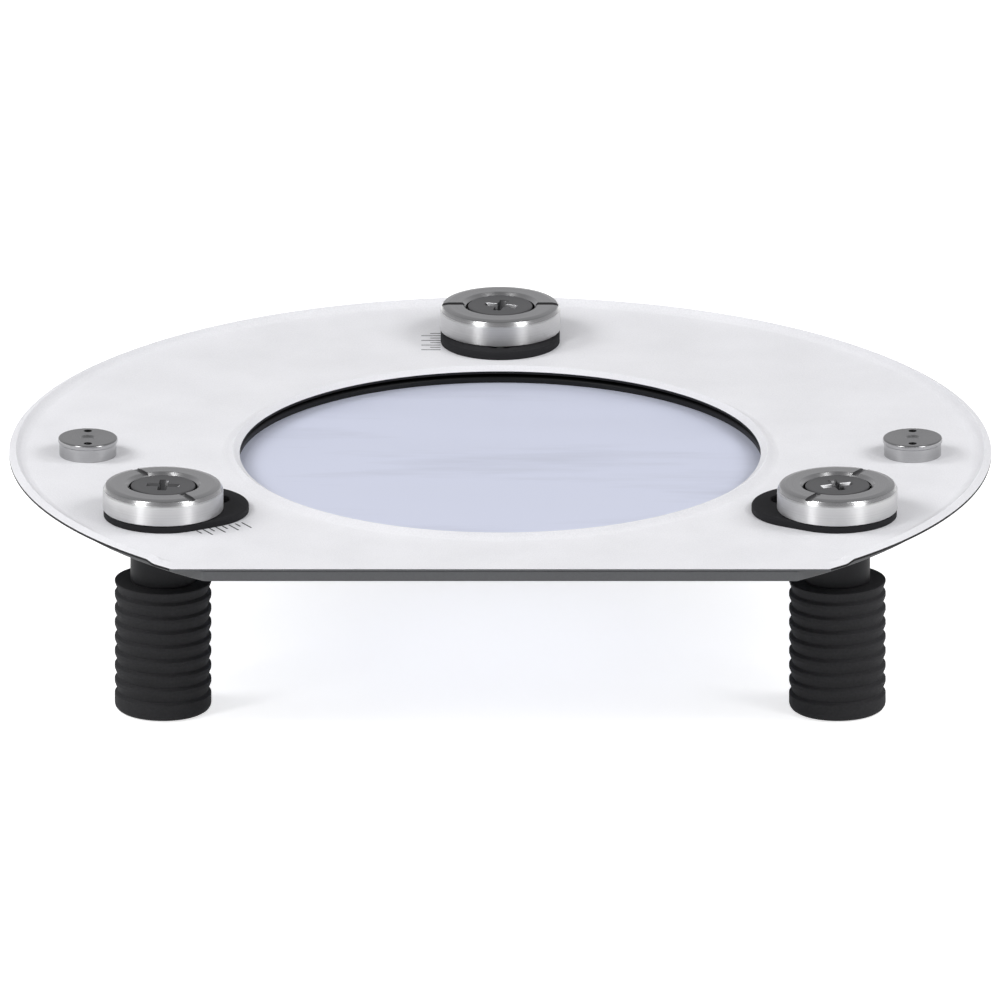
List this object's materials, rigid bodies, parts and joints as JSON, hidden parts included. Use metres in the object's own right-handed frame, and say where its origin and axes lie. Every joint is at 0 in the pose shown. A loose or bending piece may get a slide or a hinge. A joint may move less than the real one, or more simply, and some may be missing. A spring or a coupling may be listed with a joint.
{
  "type": "binocular solar filter",
  "caption": "Clip-on solar filter: a round mask with one straight side holds reflective film, and rubber-sleeved fingers slide in radial slots to grip a binocular barrel.",
  "frame": {"origin": "on the optical axis, in the plane that the three finger tips stand on", "axes": "+Z along the optical axis towards the sky side of the mask; +X across the mask, parallel to its straight side; the straight side lies towards -Y"},
  "size_m": [0.132, 0.115, 0.0318],
  "materials": {
    "white_face": "white powder coat on the sky side, dark at the cut edges and behind",
    "dark_plate": "dark grey satin",
    "film_ring": "black, semi-gloss",
    "solar_film": "metallised film, slightly wrinkled, faint lavender",
    "black_bezel": "black satin",
    "turned_steel": "turned, fine concentric marks",
    "screw_steel": "bright, darkened in the recess",
    "stud_steel": "polished and turned",
    "black_post": "black satin",
    "sleeve_rubber": "matt black rubber"
  },
  "bodies": {
    "mask": {"front_plate": "white_face", "back_plate": "dark_plate", "film_ring_front": "film_ring", "solar_film": "solar_film", "film_ring_rear": "film_ring", "slot_bezel_back": "black_bezel", "slot_bezel_left": "black_bezel", "slot_bezel_right": "black_bezel", "joining_stud_left": "stud_steel", "joining_nut_left": "stud_steel", "joining_stud_right": "stud_steel", "joining_nut_right": "stud_steel"},
    "finger_back": {"clamp_disc_back": "turned_steel", "finger_post_back": "black_post", "finger_sleeve_back": "sleeve_rubber"},
    "screw_back": {"clamp_screw_back": "screw_steel"},
    "finger_left": {"clamp_disc_left": "turned_steel", "finger_post_left": "black_post", "finger_sleeve_left": "sleeve_rubber"},
    "screw_left": {"clamp_screw_left": "screw_steel"},
    "finger_right": {"clamp_disc_right": "turned_steel", "finger_post_right": "black_post", "finger_sleeve_right": "sleeve_rubber"},
    "screw_right": {"clamp_screw_right": "screw_steel"}
  },
  "joints": [
    {"name": "finger_back_slide", "type": "slide", "parent": "mask", "child": "finger_back", "axis": [0, -1, 0], "range_m": [-0.0014, 0.0064]},
    {"name": "screw_back_turn", "type": "hinge", "parent": "finger_back", "child": "screw_back", "pos_m": [0, 0.0509, 0.02935], "axis": [0, 0, 1], "range_deg": [0, 180]},
    {"name": "finger_left_slide", "type": "slide", "parent": "mask", "child": "finger_left", "axis": [0.866, 0.5, 0], "range_m": [0, 0.0078]},
    {"name": "screw_left_turn", "type": "hinge", "parent": "finger_left", "child": "screw_left", "pos_m": [-0.04529, -0.02615, 0.02935], "axis": [0, 0, 1], "range_deg": [0, 180]},
    {"name": "finger_right_slide", "type": "slide", "parent": "mask", "child": "finger_right", "axis": [-0.866, 0.5, 0], "range_m": [0, 0.0078]},
    {"name": "screw_right_turn", "type": "hinge", "parent": "finger_right", "child": "screw_right", "pos_m": [0.04529, -0.02615, 0.02935], "axis": [0, 0, 1], "range_deg": [0, 180]}
  ]
}
